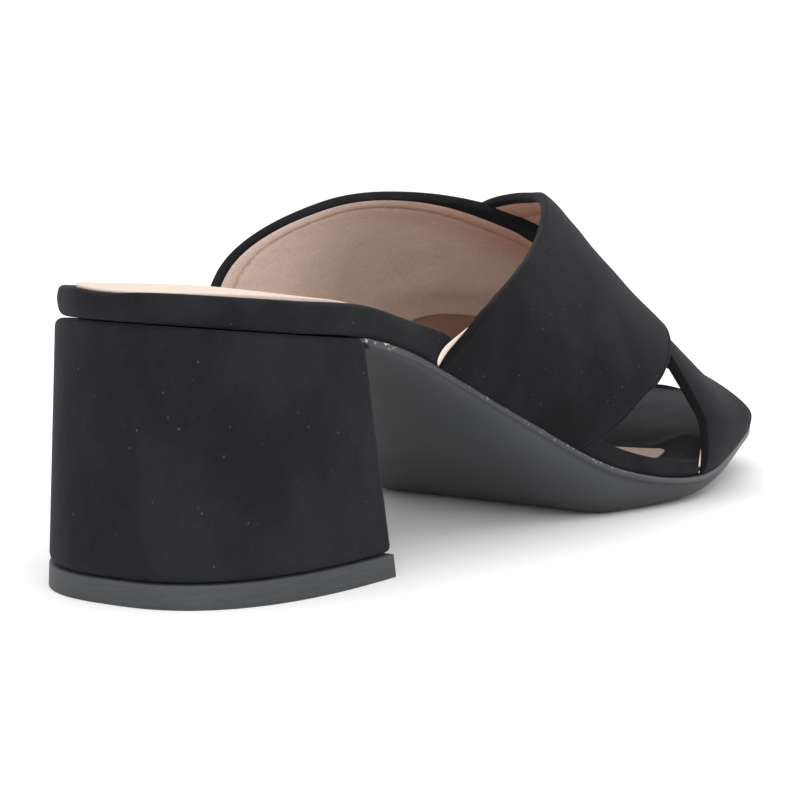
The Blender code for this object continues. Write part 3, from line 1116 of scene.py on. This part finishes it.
@dataclass
class HeelUnit:
    """The suede-covered heel block and the rubber top lift under it."""

    last: Last
    foot: HeelSection = HeelSection(30.9, 51.7, 2.65, 0.0)
    head: HeelSection = HeelSection(29.1, 43.5, 2.3, 0.8)
    slope: float = -0.13
    lift_thickness: float = 4.7
    gap: float = 0.3
    curve_steps: int = 120
    breast_steps: int = 48
    block_rows: int = 16
    lift_rows: int = 4
    top_round: float = 1.6
    lift_round: float = 0.25

    def seat(self, y: float) -> float:
        """Return the height of the block's sloping upper face."""
        return self.last.heel_end.bed - self.gap + self.slope * y

    def breast(self, z: float) -> float:
        """Find the heel's breast.

        Args:
            z: the height.

        Returns:
            The y of the breast there.
        """
        head = self.head.back + self.head.depth
        foot = self.foot.back + self.foot.depth
        return mix(foot, head, z / self.seat(head))

    def outline(self, level: float, step: int) -> Pair:
        """Find a point of a section's outline.

        Args:
            level: 0 at the floor to 1 at the block's top.
            step: counts round the back from the outer corner, then along the breast.

        Returns:
            The point's x and y.
        """
        section = HeelSection(*(mix(low, high, level) for low, high in zip(self.foot, self.head)))
        if step > self.curve_steps:
            share = (step - self.curve_steps) / self.breast_steps
            x = mix(-section.half_width, section.half_width, share)
            return x, section.back + section.depth
        turn = math.pi * (0.5 - step / self.curve_steps)
        power = 2 / section.squareness
        x = section.half_width * math.copysign(abs(math.sin(turn)) ** power, turn)
        return x, section.back + section.depth * (1 - abs(math.cos(turn)) ** power)

    def _body(self, low: float, high: float | None, rows: int) -> bmesh.types.BMesh:
        """Make a slice of the heel.

        Args:
            low: the height of its lower face.
            high: the height of its upper face, or None for the sloping top.
            rows: how many rings of points it has.

        Returns:
            The slice's mesh.
        """
        tall = self.seat(0.0)

        def place(step: int, row: int) -> Vector:
            """Place a point of the side.

            Args:
                step: counts round the outline.
                row: counts up the side.

            Returns:
                The point, in metres.
            """
            share = row / (rows - 1)
            level = mix(low, tall if high is None else high, share) / tall
            x, y = self.outline(level, step)
            return to_frame(x, y, mix(low, self.seat(y) if high is None else high, share))

        return wrapped(self.curve_steps + self.breast_steps, rows, place)

    def build(self) -> None:
        """Make the block and the top lift."""
        block = self._body(self.lift_thickness + self.gap, None, self.block_rows)
        soften(block, self.top_round, segments=4)
        add_piece("heel_cover", block, HEEL_SUEDE.make(), Slot.HEEL, ["heel_block"])
        lift = self._body(0.0, self.lift_thickness, self.lift_rows)
        soften(lift, self.lift_round, segments=2)
        add_piece("top_lift", lift, LIFT_RUBBER.make(), Slot.TOP_LIFT, ["heel_tip"])


# ------------------------------------------------------------------------ sole and footbed


PLATE_STEPS = 240


class Ring(NamedTuple):
    """A ring of points round a plate.

    inset is how far inside the plan's edge it runs and inward how far on towards the
    plan's spine. level is 0 on the underside and 1 on the upper face, and lift raises it.
    """

    inset: float
    inward: float
    level: float
    lift: float


def quarter_round(radius: float, level: float, rising: bool, segments: int = 5) -> list[Ring]:
    """Return the rings that round an edge of a plate.

    Args:
        radius: the round's radius.
        level: the face that it starts or ends on, 0 under and 1 over.
        rising: True from a face out to the side, False from the side in to a face.
        segments: how many cells it has.

    Returns:
        The rings, in the order that a walk from the underside to the upper face meets them.
    """
    rings = []
    for step in range(segments + 1):
        angle = math.pi / 2 * (step if rising else segments - step) / segments
        drop = radius * (1 - math.cos(angle))
        rings.append(Ring(radius * (1 - math.sin(angle)), 0.0, level, drop if rising else -drop))
    return rings


def face_rings(insets: Sequence[float], inwards: Sequence[float], level: float) -> list[Ring]:
    """Return the rings of a face, from the edge in to the spine."""
    rings = [Ring(inset, 0.0, level, 0.0) for inset in insets]
    return rings + [Ring(insets[-1], inward, level, 0.0) for inward in inwards]


def plate(rings: Sequence[Ring], place: Callable[[Ring, float], Vector]) -> bmesh.types.BMesh:
    """Make a closed plate.

    Args:
        rings: its rings, from the spine below to the spine above.
        place: gives the point of a ring at an angle.

    Returns:
        The plate's mesh.
    """
    steps, turn = PLATE_STEPS, FULL_TURN / PLATE_STEPS
    return wrapped(steps, len(rings), lambda step, row: place(rings[row], turn * (step + 0.5)))


@dataclass
class Footbed:
    """The suede-wrapped footbed with a fold ahead of its sock, and the leather sock."""

    last: Last
    straps: tuple["StrapCut", ...]
    lower_round: float = 1.8
    upper_round: float = 1.4
    shoulder: float = 0.38
    shoulder_width: float = 11.0
    shoulder_start: float = 145.0
    shoulder_run: float = 25.0
    outer_run: float = 10.0
    bulge: float = 0.2
    side_levels: tuple[float, ...] = (0.25, 0.5, 0.75)
    under_insets: tuple[float, ...] = (2.4, 4.0, 6.0, 8.0, 10.0)
    over_insets: tuple[float, ...] = (
        2.6, 3.8, 5.0, 6.5, 8.0, 9.3, 10.5, 11.7, 12.9, 14.1, 15.3, 16.5, 17.7,
    )
    inwards: tuple[float, ...] = (0.25, 0.5, 0.75, 1.0)
    press_depth: float = 1.7
    press_start: float = 4.5
    press_run: float = 6.0
    slot_height: float = 2.9
    slot_depth: float = 8.0
    slot_run: float = 2.0
    crest: tuple[Pair, ...] = (
        (21.5, 172.5), (22.3, 179.0), (24.5, 181.3), (28.1, 180.6), (34.0, 178.0),
    )
    crest_height: float = 0.7
    crest_width: float = 1.25
    sock_thickness: float = 0.8
    sock_round: float = 0.3
    sock_under_insets: Pair = (1.0, 3.0)
    sock_over_insets: tuple[float, ...] = (1.0, 2.0, 3.5)
    sock_inwards: tuple[float, ...] = (0.12, 0.25, 0.4, 0.55, 0.7, 0.85, 1.0)
    sock_cut_round: float = 0.15
    corner: float = 3.2
    corner_cuts: int = 5

    def held(self, x: float, y: float) -> float:
        """Tell how firmly a strap holds the footbed's edge.

        Args:
            x: the place across the shoe.
            y: the place along it.

        Returns:
            1 well under a strap's end and 0 beside it.
        """
        end = 0 if x > self.last.lines["axis"](y) else -1
        share = 0.0
        for cut in self.straps:
            after = ease((y - cut.rear[end] - self.press_start) / self.press_run)
            before = ease((cut.front[end] - y - self.press_start) / self.press_run)
            share = max(share, after * before)
        return share

    def rings(self) -> list[Ring]:
        """List the footbed's rings.

        Returns:
            The rings, from the spine below to the spine above.
        """
        side = []
        for level in self.side_levels:
            out = self.bulge * 4 * level * (1 - level)
            side.append(Ring(-out, 0.0, level, mix(self.lower_round, -self.upper_round, level)))
        return [
            *reversed(face_rings(self.under_insets, self.inwards, 0.0)),
            *quarter_round(self.lower_round, 0.0, True),
            *side,
            *quarter_round(self.upper_round, 1.0, False),
            *face_rings(self.over_insets, self.inwards, 1.0),
        ]

    def _footbed_point(self, ring: Ring, turn: float) -> Vector:
        """Place a point of the footbed, pressed in where a strap passes.

        Args:
            ring: the ring that it is on.
            turn: its angle.

        Returns:
            The point, in metres.
        """
        edge_x, edge_y = self.last.plan.edge(turn)
        held = self.held(edge_x, edge_y)
        side = 1 - ease(ring.inset / (self.press_depth * 2))
        inset = ring.inset + held * self.press_depth * side
        x, y = self.last.plan.inward(turn, inset, ring.inward)
        seat = self.last.seat(x, y)
        near = max(0.0, 1 - ring.inset / self.shoulder_width) * (ring.inward == 0)
        outer = ease((x - self.last.lines["axis"](y)) / self.outer_run)
        ahead = ease((y - self.shoulder_start) / self.shoulder_run)
        squash = self.shoulder * ahead * near**2 * outer
        z = seat + ((self.last.top(x, y) - seat) * ring.level + ring.lift) * (1 - squash)
        if ring.level < 1:
            slot = 1 - ease((ring.inset - self.slot_depth) / self.slot_run + 1)
            z += held * self.slot_height * slot * (1 - ring.level) * (ring.inward == 0)
        else:
            z += self._crest_lift(x, y)
        return to_frame(x, y, z)

    def _crest_lift(self, x: float, y: float) -> float:
        """Find the height of the fold ahead of the sock's corner.

        Args:
            x: the place across the shoe.
            y: the place along it.

        Returns:
            How far the fold raises the footbed there.
        """
        place = Vector((x, y))
        far = math.inf
        for start, end in zip(self.crest, self.crest[1:]):
            start, end = Vector(start), Vector(end)
            share = intersect_point_line(place, start, end)[1]
            far = min(far, (place - start.lerp(end, min(max(share, 0.0), 1.0))).length)
        return self.crest_height * math.exp(-((far / self.crest_width) ** 2))

    def _sock_point(self, ring: Ring, turn: float) -> Vector:
        """Place a point of the sock.

        Args:
            ring: the ring that it is on.
            turn: its angle.

        Returns:
            The point, in metres.
        """
        x, y = self.last.sock_plan.inward(turn, ring.inset, ring.inward)
        proud = self.last.sock_lines["proud"](y)
        rise = ease((y - self.last.sock_back) / self.last.pad_run)
        pad = self.last.sock_lines["pad"](y) * rise * (1 - self.last.across(x, y) ** 2)
        z = self.last.top(x, y) + proud + mix(-self.sock_thickness, pad, ring.level)
        return to_frame(x, y, z + ring.lift)

    def _sock_cuts(self) -> list[tuple[Vector, Vector]]:
        """List the planes that cut the sock's front straight and round its corners.

        Returns:
            A point of each plane, in metres, and the direction to the side that stays.
        """
        front = self.last.sock_front
        cuts = [(to_frame(0.0, front, 0.0), Vector((0.0, -1.0, 0.0)))]
        axis = self.last.lines["axis"](front)
        inset = self.last.sock_lines["inset"](front)
        for side in (1, -1):
            reach = self.last.half_width(front, side > 0) - inset - self.corner
            middle = Vector((axis + side * reach, front - self.corner))
            for step in range(self.corner_cuts):
                angle = math.pi / 2 * (step + 0.5) / self.corner_cuts
                out = Vector((side * math.cos(angle), math.sin(angle)))
                place = middle + out * self.corner
                cuts.append((to_frame(*place, 0.0), Vector((-out.x, -out.y, 0.0))))
        return cuts

    def build(self) -> None:
        """Make the footbed and the sock."""
        bed = plate(self.rings(), self._footbed_point)
        wrap = add_piece("footbed_wrap", bed, RIM_SUEDE.make(), Slot.RIM, ["footbed"])
        smooth(wrap, levels=1)
        rings = [
            *reversed(face_rings(self.sock_under_insets, self.sock_inwards, 0.0)),
            *quarter_round(self.sock_round, 0.0, True, segments=3),
            *quarter_round(self.sock_round, 1.0, False, segments=3),
            *face_rings(self.sock_over_insets, self.sock_inwards, 1.0),
        ]
        sock = plate(rings, self._sock_point)
        for place, normal in self._sock_cuts():
            cut_off(sock, place, normal)
        soften(sock, self.sock_cut_round, segments=2)
        add_piece("sock", sock, SOCK_LEATHER.make(), Slot.LINING, ["insole_sock"])


class Fade(NamedTuple):
    """A value that changes softly from low to high over a run that begins at start."""

    start: float
    run: float
    low: float
    high: float

    def at(self, place: float) -> float:
        """Return the value at a place."""
        return mix(self.low, self.high, ease((place - self.start) / self.run))


class Smear(NamedTuple):
    """Dried glue along the sole's upper edge: its middle, half length and strength."""

    y: float
    run: float
    share: float

    def strength(self, y: float) -> float:
        """Return how much glue there is at y, half as much at the smear's ends."""
        return self.share * ease(1.5 - abs(y - self.y) / self.run)


@dataclass
class Outsole:
    """The thin outsole, rolled up at its edge and cut off against the heel's breast."""

    last: Last
    heel: HeelUnit
    gap: float = 0.05
    edge: float = 1.5
    reach: float = 0.3
    edge_round: float = 0.45
    lip_shares: tuple[float, ...] = (1.0, 0.8, 0.5)
    under_insets: tuple[float, ...] = (
        0.12, 0.4, 0.8, 1.4, 2.2, 3.2, 4.4, 5.8, 7.4, 9.2, 11.2, 13.4,
    )
    over_insets: tuple[float, ...] = (1.2, 4.0, 8.0)
    inwards: tuple[float, ...] = (0.2, 0.4, 0.6, 0.8, 1.0)
    # painted highlight band under the upper edge, stronger towards the toe
    edge_highlight: Fade = Fade(75.0, 40.0, 0.15, 1.0)
    edge_highlight_width: Fade = Fade(120.0, 50.0, 0.2, 0.7)
    edge_highlight_run: float = 0.6
    smears: tuple[Smear, ...] = (Smear(48.0, 5.0, 1.0), Smear(100.0, 32.0, 0.35))
    glue: Fade = Fade(0.6, 0.8, 1.0, 0.0)
    glue_side: Fade = Fade(0.0, 10.0, 0.0, 1.0)
    # painted shade on the outsole's lowest few millimetres
    tread: Fade = Fade(1.2, 4.0, 0.9, 0.0)

    def rings(self) -> list[Ring]:
        """List the outsole's rings.

        Returns:
            The rings, from the spine below to the spine above.
        """
        reach = self.reach
        under = face_rings([inset - reach for inset in self.under_insets], self.inwards, 0.0)
        lip = [Ring(-reach, 0.0, 0.5, -self.edge * share) for share in self.lip_shares]
        rolled = [
            ring._replace(inset=ring.inset - reach)
            for ring in quarter_round(self.edge_round, 1.0, False, segments=4)
        ]
        over = face_rings(self.over_insets, self.inwards, 1.0)
        return [*reversed(under), *lip, *rolled, *over]

    def _point(self, ring: Ring, turn: float) -> Vector:
        """Place a point of the outsole.

        Args:
            ring: the ring that it is on.
            turn: its angle.

        Returns:
            The point, in metres.
        """
        x, y = self.last.plan.inward(turn, ring.inset, ring.inward)
        if ring.level == 0:
            return to_frame(x, y, self.last.tread(x, y, self.gap + self.edge))
        return to_frame(x, y, self.last.seat(x, y) - self.gap + ring.lift)

    def build(self) -> None:
        """Make the outsole."""
        bm = plate(self.rings(), self._point)
        seam = self.last.heel_end.bed
        low = to_frame(0.0, self.heel.breast(0.0) + self.gap, 0.0)
        high = to_frame(0.0, self.heel.breast(seam) + self.gap, seam)
        cut_off(bm, low, Vector((0.0, high.z - low.z, low.y - high.y)))
        layers = bm.verts.layers.float
        edge_highlight, glue, tread = (layers.new(name) for name in ("edge_highlight", "glue", "tread"))
        for vert in bm.verts:
            x, y, z = vert.co.x / MM, (vert.co.y - HEEL_BACK) / MM, vert.co.z / MM
            below = self.last.bed(y) - self.gap - z
            # painted highlight: a band just under the sole's upper edge
            beyond = (below - self.edge_highlight_width.at(y)) / self.edge_highlight_run
            vert[edge_highlight] = self.edge_highlight.at(y) * (1 - ease(beyond))
            smeared = max(smear.strength(y) for smear in self.smears)
            vert[glue] = self.glue_side.at(x) * smeared * self.glue.at(below)
            # painted shade, darker towards the floor
            vert[tread] = self.tread.at(z)
        add_piece("outsole_shell", bm, SOLE_COMPOUND.make(), Slot.OUTSOLE, ["outsole"])


# -------------------------------------------------------------------------------- upper


class StrapCut(NamedTuple):
    """A strap's edges at equal steps round the vault, from the outer to the inner side.

    lift raises it off the vault. hem is how wide the suede is turned in at the rear edge,
    reach how far the lining shows past that edge at the outer foot, reach_run how much
    of the strap it does so on, shade how much painted shade darkens the whole lining, and
    front_inset how far inside the front edge it ends.
    """

    rear: tuple[float, ...]
    front: tuple[float, ...]
    lift: float
    hem: tuple[float, ...]
    reach: float
    reach_run: float
    shade: float
    front_inset: float


class Crease(NamedTuple):
    """A soft trough or ridge in a strap.

    turn and share place its middle, bearing is its direction from the strap's run, and
    the rest are its half length, half width and height in millimetres.
    """

    turn: float
    share: float
    bearing: float
    length: float
    width: float
    height: float

    def rise(self, along: float, over: float) -> float:
        """Find its height at a place.

        Args:
            along: how far the place is from its middle along the strap.
            over: how far it is from there across the strap.

        Returns:
            The height.
        """
        cos, sin = math.cos(math.radians(self.bearing)), math.sin(math.radians(self.bearing))
        far = ((along * cos + over * sin) / self.length) ** 2
        far += ((over * cos - along * sin) / self.width) ** 2
        return self.height * math.exp(-far)


UNDER_STRAP = StrapCut(
    rear=(160.2, 152.8, 148.2, 149.0, 148.3, 145.0, 132.4, 107.1, 83.5, 75.7, 72.6),
    front=(190.0, 187.7, 187.9, 174.2, 150.5, 131.0),
    lift=0.0,
    hem=(1.1, 1.1, 1.1, 4.6, 6.0, 4.0, 1.1, 1.0, 1.0, 1.0, 1.0),
    reach=1.5,
    reach_run=0.09,
    shade=0.0,
    front_inset=-0.8,
)
OVER_STRAP = StrapCut(
    rear=(
        71.7, 74.4, 78.0, 82.5, 91.4, 103.1, 116.6, 129.4, 139.0, 142.9, 144.4,
        146.5, 148.0, 148.3, 147.9, 147.1, 146.5, 147.1, 148.1, 149.2, 150.5,
    ),
    front=(118.5, 132.8, 148.3, 164.2, 179.8, 188.8, 194.0, 195.8, 196.0, 196.6, 197.0),
    lift=1.9,
    hem=(1.1, 1.1, 1.1),
    reach=3.1,
    reach_run=0.11,
    shade=1.0,
    front_inset=0.1,
)

UNDER_CREASES = (
    Crease(0.66, 0.79, 12.0, 22.0, 3.2, -0.7),
    Crease(0.88, 0.0, 0.0, 31.0, 15.0, 1.5),
)
OVER_CREASES = (
    Crease(0.36, 0.08, 0.0, 13.0, 9.0, 1.3),
    Crease(0.28, 0.72, 0.0, 14.0, 12.0, -0.7),
    Crease(0.18, 0.38, 80.0, 9.0, 1.2, -0.22),
    Crease(0.15, 0.46, 75.0, 7.0, 1.0, 0.18),
    Crease(0.28, 0.55, 65.0, 12.0, 3.0, 0.30),
    Crease(0.22, 0.72, 70.0, 10.0, 2.5, -0.28),
    Crease(0.34, 0.35, 20.0, 10.0, 3.0, 0.28),
    Crease(0.10, 0.30, 60.0, 8.0, 2.0, -0.20),
)


@dataclass
class Strap:
    """One of the crossing straps: suede folded round its edges, lined with leather."""

    name: str
    cut: StrapCut
    vault: Vault
    creases: tuple[Crease, ...] = ()
    wall: float = 2.3
    set_out: float = 0.05
    lift_run: float = 0.17
    turns: int = 64
    margin_steps: tuple[float, ...] = (2.0, 4.2, 6.5)
    edge_columns: tuple[float, ...] = (0.0, 0.8, 1.3, 1.8, 3.6, 6.0, 8.6)
    fold_column: int = 2
    fold_depth: float = 0.4
    middle_cells: int = 9
    run_length: float = 165.0
    lining_columns: tuple[float, ...] = (0.0, 0.3, 1.2, 2.4, 3.3, 4.1, 4.9, 6.4)
    lining_levels: tuple[float, ...] = (-0.1, 0.1, 0.3, 0.42, 0.36, 0.05, 0.25, 0.28)
    front_level: float = 0.28
    lining_ends: Pair = (0.002, 0.998)
    traces: tuple[str, ...] = ("crease", "shade", "painted_highlight")
    lining_thickness: float = 0.45
    crease_column: int = 5
    roll_columns: int = 4
    painted_highlight_run: float = 1.5
    # place and size of the patch of painted shade on the under strap's lining
    shade_place: Pair = (0.47, 7.0)
    shade_size: Pair = (24.0, 8.0)
    foot_drop: float = 2.0
    subdivisions: int = 2

    def __post_init__(self) -> None:
        """Draw the lines of the strap's edges."""
        self.rear, self.front, self.hem = (
            Line([step / (len(values) - 1) for step in range(len(values))], values)
            for values in (self.cut.rear, self.cut.front, self.cut.hem)
        )

    def point(self, turn: float, share: float) -> Vector:
        """Return the middle of the strap's wall.

        Args:
            turn: 0 at its outer foot to 1 at its inner foot.
            share: 0 at its rear edge to 1 at its front edge.

        Returns:
            The point, in millimetres.
        """
        y = mix(self.rear(turn), self.front(turn), share)
        lift = self.cut.lift * ease(min(turn, 1 - turn) / self.lift_run)
        x, z = self.vault.point(y, turn, lift)
        return Vector((x, y, z))

    def shares(self, turn: float, columns: Sequence[float], lined: bool) -> list[float]:
        """Space the points across the strap, close together near its edges.

        Args:
            turn: the place along the strap.
            columns: how far from the first and last points the next ones are.
            lined: True for the lining, which stays inside the hem of the suede.

        Returns:
            The shares of the strap's width, from its rear edge to its front edge.
        """
        width = self.front(turn) - self.rear(turn)
        hem = self.hem(turn) if lined else 0.0
        inset = self.cut.front_inset if lined else 0.0
        near = [(hem + column) / width for column in columns]
        far = [1 - (inset + column) / width for column in reversed(columns)]
        if lined:
            near[0] -= self.cut.reach * (1 - ease(turn / self.cut.reach_run)) / width
        cells = self.middle_cells
        middle = [mix(near[-1], far[0], step / cells) for step in range(1, cells)]
        return [*near, *middle, *far]

    def _creased(self, turn: float, share: float) -> float:
        """Find how high the creases raise the strap at a place.

        Args:
            turn: 0 at its outer foot to 1 at its inner foot.
            share: 0 at its rear edge to 1 at its front edge.

        Returns:
            The height, in millimetres.
        """
        width = self.front(turn) - self.rear(turn)
        return sum(
            crease.rise((turn - crease.turn) * self.run_length, (share - crease.share) * width)
            for crease in self.creases
        )

    def _sheet(
        self, turns: Sequence[float], columns: Sequence[float], lined: bool
    ) -> tuple[bmesh.types.BMesh, dict[bmesh.types.BMVert, Cell]]:
        """Lay a sheet over the vault.

        Args:
            turns: the places along the strap that its rows are at.
            columns: the spacing of its points near its edges.
            lined: True for the lining.

        Returns:
            Its mesh, and the row and column of each of its points.
        """
        turns = [min(max(turn, 0.0), 1.0) for turn in turns]
        spans = [self.shares(turn, columns, lined) for turn in turns]
        bm, cells = grid(len(turns) - 1, len(spans[0]) - 1, self.traces)
        for vert, (row, column) in cells.items():
            vert.co = self.point(turns[row], spans[row][column])
        bm.normal_update()
        top = max(bm.verts, key=lambda vert: vert.co.z)
        if top.normal.z < 0:
            bmesh.ops.reverse_faces(bm, faces=bm.faces)
            bm.normal_update()
        for vert, (row, column) in cells.items():
            vert.co += vert.normal * self._creased(turns[row], spans[row][column])
        return bm, cells

    def _shell(self) -> bmesh.types.BMesh:
        """Make the suede, with margins turned in under the footbed.

        Returns:
            The middle of its wall.
        """
        margins = len(self.margin_steps)
        turns = [step / self.turns for step in range(-margins, self.turns + margins + 1)]
        bm, cells = self._sheet(turns, self.edge_columns, False)
        last_column = max(column for _, column in cells.values())
        for vert, (row, column) in cells.items():
            folded = last_column - column == self.fold_column
            x, y, z = vert.co + vert.normal * (self.set_out - self.fold_depth * folded)
            past = max(margins - row, row - margins - self.turns, 0)
            if past:
                x -= math.copysign(self.margin_steps[past - 1], x)
                z = self.vault.last.seat(x, y) + self.vault.foot_level
            vert.co = to_frame(x, y, z)
        return bm

    def _lining(self) -> bmesh.types.BMesh:
        """Make the lining, whose edge rolls over the suede's fold.

        Returns:
            Its inner face.
        """
        turns = [mix(*self.lining_ends, step / self.turns) for step in range(self.turns + 1)]
        bm, cells = self._sheet(turns, self.lining_columns, True)
        crease, shade, painted_highlight = (bm.verts.layers.float[name] for name in self.traces)
        bm.normal_update()
        for vert, (row, column) in cells.items():
            turn = turns[row]
            # marks the crease, where the leather paints shade
            vert[crease] = float(column == self.crease_column)
            # painted highlight: the lining that shows past the rear edge near the outer foot is
            # brightened
            reached = ease(turn / self.cut.reach_run / self.painted_highlight_run)
            vert[painted_highlight] = (1 - reached) * (column < self.roll_columns)
            # painted shade: the over strap's whole lining, and a patch of the under strap's lining
            # below the crossing, are darkened
            along = (turn - self.shade_place[0]) * self.run_length
            over = vert.co.y - self.rear(turn) - self.shade_place[1]
            far = (along / self.shade_size[0]) ** 2 + (over / self.shade_size[1]) ** 2
            vert[shade] = max(self.cut.shade, math.exp(-far))
            rolled = column < len(self.lining_levels)
            level = self.lining_levels[column] if rolled else self.front_level
            x, y, z = vert.co + vert.normal * (self.set_out - self.wall / 2 - level)
            vert.co = to_frame(x, y, z - self.foot_drop * (row in (0, self.turns)))
        return bm

    def build(
        self,
        suede: bpy.types.Material,
        leather: bpy.types.Material,
        replaces: Sequence[str],
    ) -> None:
        """Make the strap.

        Args:
            suede: its finish outside.
            leather: its finish inside.
            replaces: the CAD nodes that its suede stands for.
        """
        shell = add_piece(f"strap_{self.name}", self._shell(), suede, Slot.STRAPS, replaces)
        lining = add_piece(f"lining_{self.name}", self._lining(), leather, Slot.LINING)
        for obj, thickness, offset in (
            (shell, self.wall, 0.0),
            (lining, self.lining_thickness, 1.0),
        ):
            wall = obj.modifiers.new("wall", "SOLIDIFY")
            wall.thickness, wall.offset = thickness * MM, offset
            smooth(obj, self.subdivisions)


@dataclass
class Upper:
    """The two straps that cross over the instep."""

    last: Last

    def build(self) -> None:
        """Make both straps and their linings."""
        vault = Vault(self.last)
        suede, leather = STRAP_SUEDE.make(), LINING_LEATHER.make()
        Strap("under", UNDER_STRAP, vault, UNDER_CREASES).build(suede, leather, ["upper"])
        Strap("over", OVER_STRAP, vault, OVER_CREASES).build(suede, leather, [])


# ------------------------------------------------------------------------------- studio


def aim(obj: bpy.types.Object, place: Triple, target: Triple) -> None:
    """Put a lamp or the camera in its place.

    Args:
        obj: the lamp or camera.
        place: where it goes, in metres.
        target: the point that it is turned to.
    """
    obj.location = place
    look = Vector(target) - Vector(place)
    obj.rotation_euler = look.to_track_quat("-Z", "Y").to_euler()


@dataclass(frozen=True)
class Lamp:
    """A soft box that points at the shoe."""

    name: str
    place: Triple
    width: float
    height: float
    power: float

    def light(self, target: Triple) -> None:
        """Hang the lamp.

        Args:
            target: the point that it shines at.
        """
        data = bpy.data.lights.new(self.name, "AREA")
        data.shape = "RECTANGLE"
        data.size = self.width
        data.size_y = self.height
        data.energy = self.power
        aim(put_in(self.name, data), self.place, target)


@dataclass
class Studio:
    """White paper, soft light and the camera."""

    eye: Triple = (0.3426, -0.4366, 0.1141)
    target: Triple = (0.0, 0.0728, 0.0271)
    lens: float = 130.2
    sensor: float = 36.0
    daylight: float = 1.15
    floor_size: float = 60.0
    floor_cells: int = 8
    lamps: tuple[Lamp, ...] = (
        Lamp("overhead", (0.1, 0.1, 1.1), 1.4, 1.4, 5.0),
        Lamp("left_front", (-0.9, -0.9, 0.6), 0.9, 0.9, 1.2),
        Lamp("right_front", (0.9, -0.9, 0.5), 0.9, 0.9, 6.3),
    )

    def _paper(self) -> None:
        """Lay the floor."""
        cells = self.floor_cells
        bm = bmesh.new()
        bmesh.ops.create_grid(bm, x_segments=cells, y_segments=cells, size=self.floor_size)
        mesh = bpy.data.meshes.new("floor")
        bm.to_mesh(mesh)
        bm.free()
        mesh.materials.append(Backdrop().make())
        put_in("floor", mesh)

    def _sky(self) -> None:
        """Fill the room with even light."""
        world = bpy.data.worlds.new("room")
        world.use_nodes = True
        background = world.node_tree.nodes["Background"]
        background.inputs["Color"].default_value = (1.0, 1.0, 1.0, 1.0)
        background.inputs["Strength"].default_value = self.daylight
        bpy.context.scene.world = world

    def _camera(self) -> None:
        """Set the camera behind the outer side of the heel, a little above it."""
        data = bpy.data.cameras.new("camera")
        data.sensor_width = self.sensor
        data.lens = self.lens
        camera = put_in("camera", data)
        aim(camera, self.eye, self.target)
        bpy.context.scene.camera = camera

    def build(self) -> None:
        """Set up the room."""
        self._camera()
        self._paper()
        self._sky()
        for lamp in self.lamps:
            lamp.light(self.target)
        bpy.context.scene.view_settings.view_transform = "Standard"


def main() -> None:
    """Build the shoe and the studio."""
    logging.basicConfig(level=logging.INFO, format="%(name)s: %(message)s")
    last = Last()
    heel = HeelUnit(last)
    heel.build()
    Outsole(last, heel).build()
    Footbed(last, (UNDER_STRAP, OVER_STRAP)).build()
    Upper(last).build()
    Studio().build()


if __name__ == "__main__":
    main()
